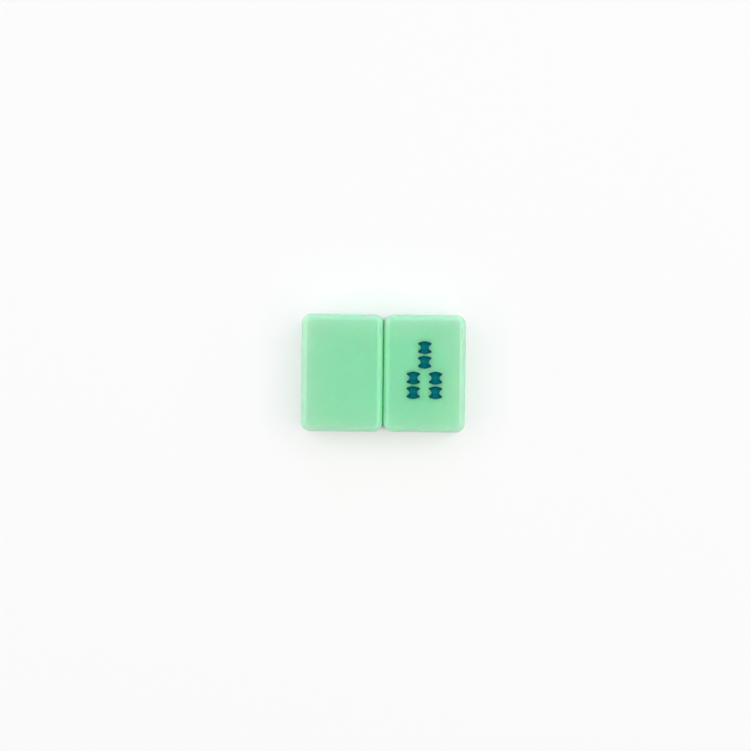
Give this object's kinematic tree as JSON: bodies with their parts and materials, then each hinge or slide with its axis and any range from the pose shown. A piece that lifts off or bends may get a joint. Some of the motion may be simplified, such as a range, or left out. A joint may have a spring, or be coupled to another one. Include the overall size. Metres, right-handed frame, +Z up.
{
  "type": "mahjong tile pair",
  "caption": "Mint-green mahjong tiles lying side by side, with rolled edges: one shows a plain side, the other an engraved bamboo figure in teal enamel.",
  "frame": {"origin": "on the table, midway between the two tiles", "axes": "+X from the plain tile to the figure tile, +Y along the tiles towards the top of the figure, +Z up out of the faces"},
  "size_m": [0.0444, 0.0318, 0.0159],
  "materials": {
    "mint_acrylic": "polished, slightly translucent mint-green acrylic",
    "teal_enamel": "satin dark teal enamel, brushed into the engraving"
  },
  "bodies": {
    "plain_tile": {"plain_tile_block": "mint_acrylic"},
    "figure_tile": {"figure_tile_block": "mint_acrylic", "upper_cane_top_enamel": "teal_enamel", "upper_cane_bottom_enamel": "teal_enamel", "left_cane_top_enamel": "teal_enamel", "left_cane_bottom_enamel": "teal_enamel", "right_cane_top_enamel": "teal_enamel", "right_cane_bottom_enamel": "teal_enamel"}
  },
  "joints": [
    {"name": "figure_tile_slide", "type": "slide", "parent": "plain_tile", "child": "figure_tile", "axis": [1, 0, 0], "range_m": [0, 0.03]}
  ]
}
